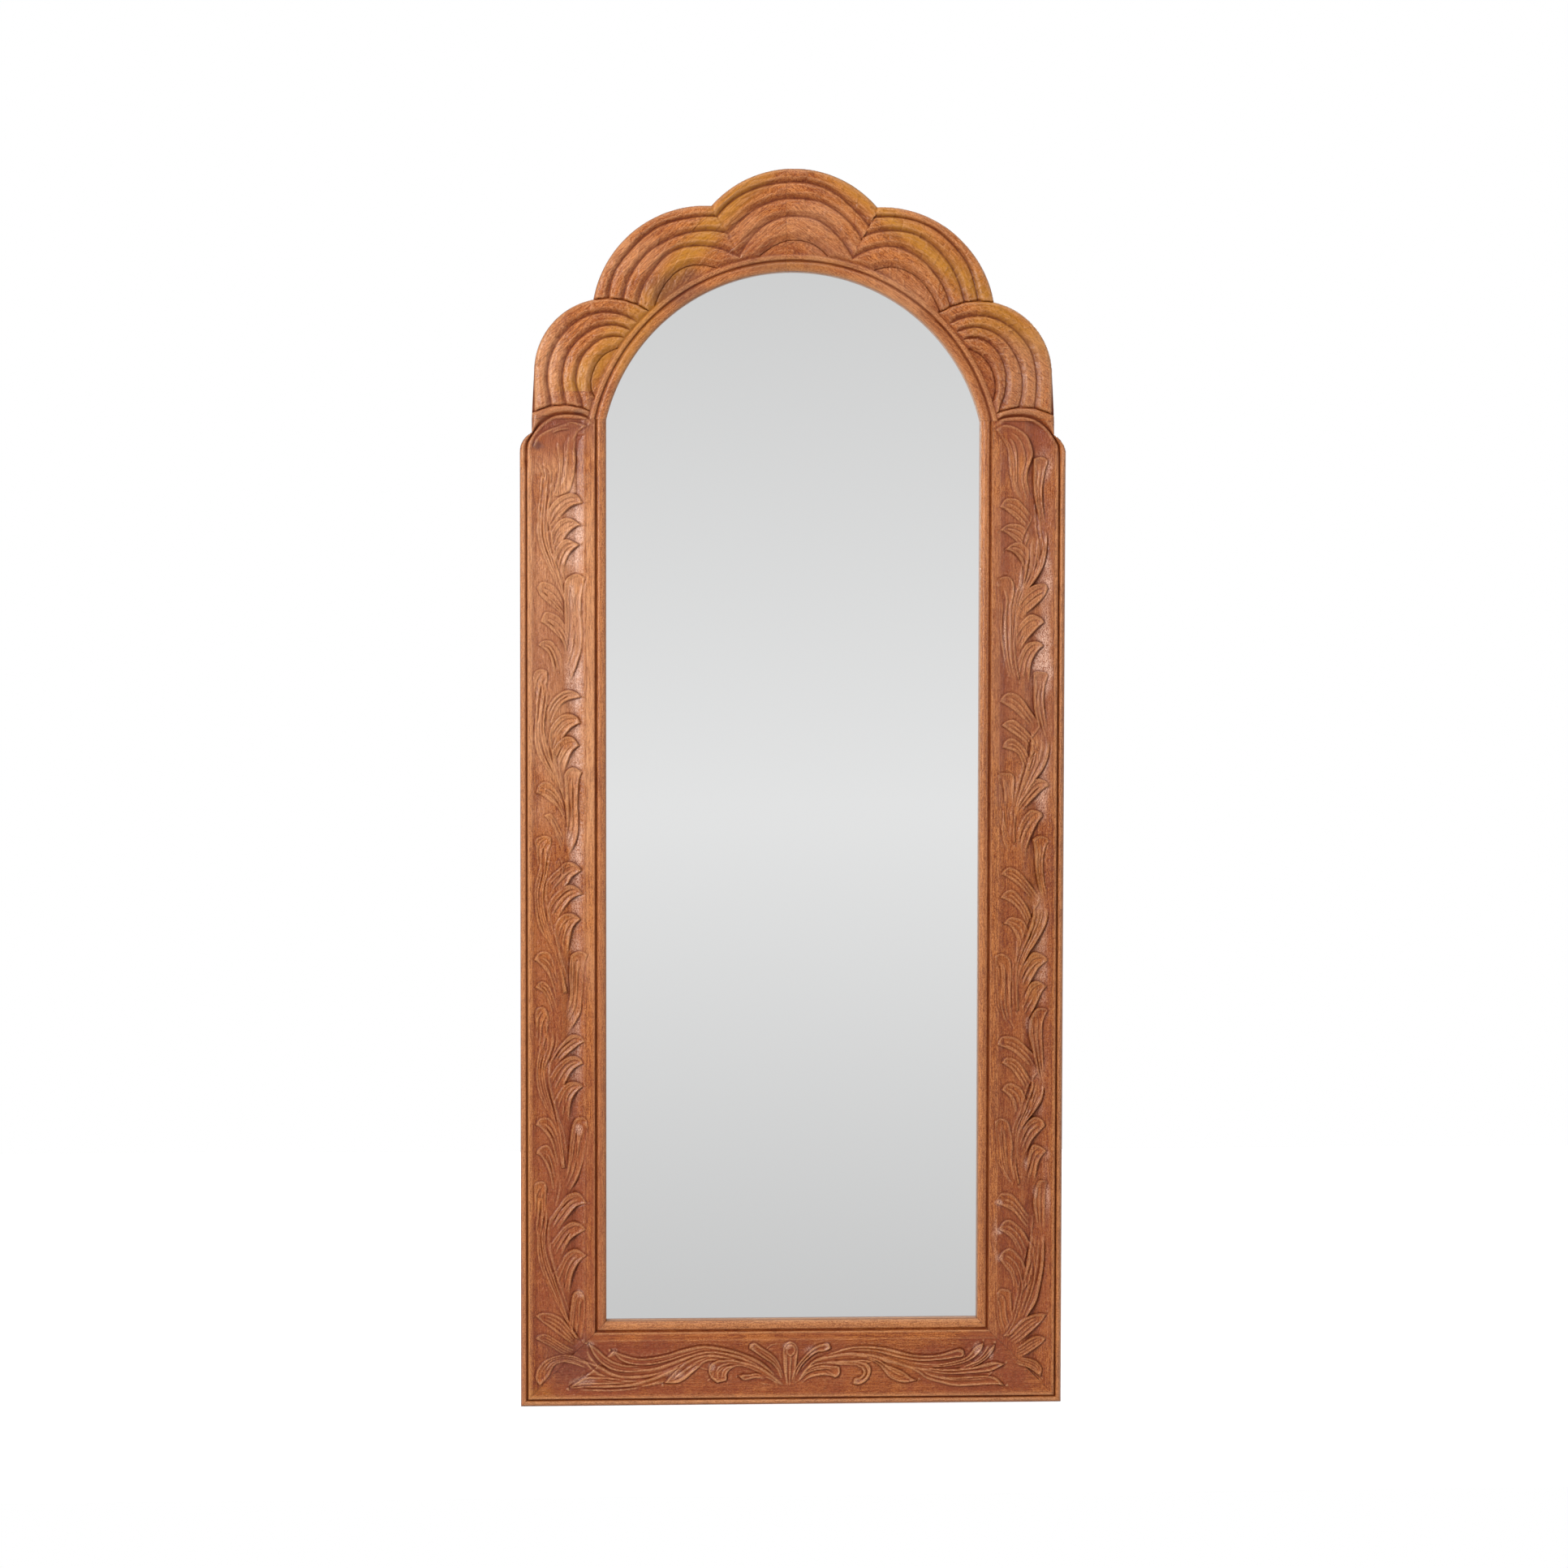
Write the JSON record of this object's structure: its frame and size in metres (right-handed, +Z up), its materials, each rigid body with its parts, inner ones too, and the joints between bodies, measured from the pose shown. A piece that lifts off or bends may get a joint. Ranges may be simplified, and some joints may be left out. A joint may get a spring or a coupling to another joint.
{
  "type": "floor mirror",
  "caption": "Full-length mirror in a carved wood frame with a scalloped arched crown, for leaning on or hanging from a wall.",
  "frame": {"origin": "middle of the frame's footprint, on the floor that its bottom edge stands on", "axes": "+Z up, +X to the right as seen from the front, +Y towards the wall; the mirror faces -Y"},
  "size_m": [0.805, 0.046, 1.828],
  "materials": {
    "carved_wood": "stained and waxed carved hardwood",
    "silvered_glass": "silvered flat mirror glass",
    "backboard": "bare fibreboard",
    "beech": "bare beech dowel",
    "steel": "zinc-plated steel",
    "rubber": "moulded rubber"
  },
  "bodies": {
    "frame": {"left_stile": "carved_wood", "right_stile": "carved_wood", "bottom_rail": "carved_wood", "crown_left": "carved_wood", "crown_left_strip": "carved_wood", "crown_right": "carved_wood", "mirror_glass": "silvered_glass", "back_panel": "backboard", "panel_screw_left_1": "steel", "panel_screw_right_1": "steel", "panel_screw_left_2": "steel", "panel_screw_right_2": "steel", "panel_screw_left_3": "steel", "panel_screw_right_3": "steel", "panel_screw_left_4": "steel", "panel_screw_right_4": "steel", "panel_screw_bottom_1": "steel", "panel_screw_bottom_2": "steel", "panel_screw_bottom_3": "steel", "panel_screw_arch_1": "steel", "panel_screw_arch_2": "steel", "panel_screw_arch_3": "steel", "panel_screw_arch_4": "steel", "panel_screw_arch_5": "steel", "hanger_screw_left_1": "steel", "hanger_screw_left_2": "steel", "hanger_screw_right_1": "steel", "hanger_screw_right_2": "steel", "mitre_dowel_left_1": "beech", "mitre_dowel_left_2": "beech", "crown_dowel_left_1": "beech", "crown_dowel_left_2": "beech", "mitre_dowel_right_1": "beech", "mitre_dowel_right_2": "beech", "crown_dowel_right_1": "beech", "crown_dowel_right_2": "beech", "seam_dowel_1": "beech", "seam_dowel_2": "beech", "hanger_strap_left": "steel", "bumper_top_left": "rubber", "bumper_bottom_left": "rubber", "hanger_strap_right": "steel", "bumper_top_right": "rubber", "bumper_bottom_right": "rubber"},
    "ring_left": {"hanger_ring_left": "steel"},
    "ring_right": {"hanger_ring_right": "steel"}
  },
  "joints": [
    {"name": "ring_left_swing", "type": "hinge", "parent": "frame", "child": "ring_left", "pos_m": [-0.3505, 0.01835, 1.33], "axis": [1, 0, 0], "range_deg": [0, 180]},
    {"name": "ring_right_swing", "type": "hinge", "parent": "frame", "child": "ring_right", "pos_m": [0.3505, 0.01835, 1.33], "axis": [1, 0, 0], "range_deg": [0, 180]}
  ]
}
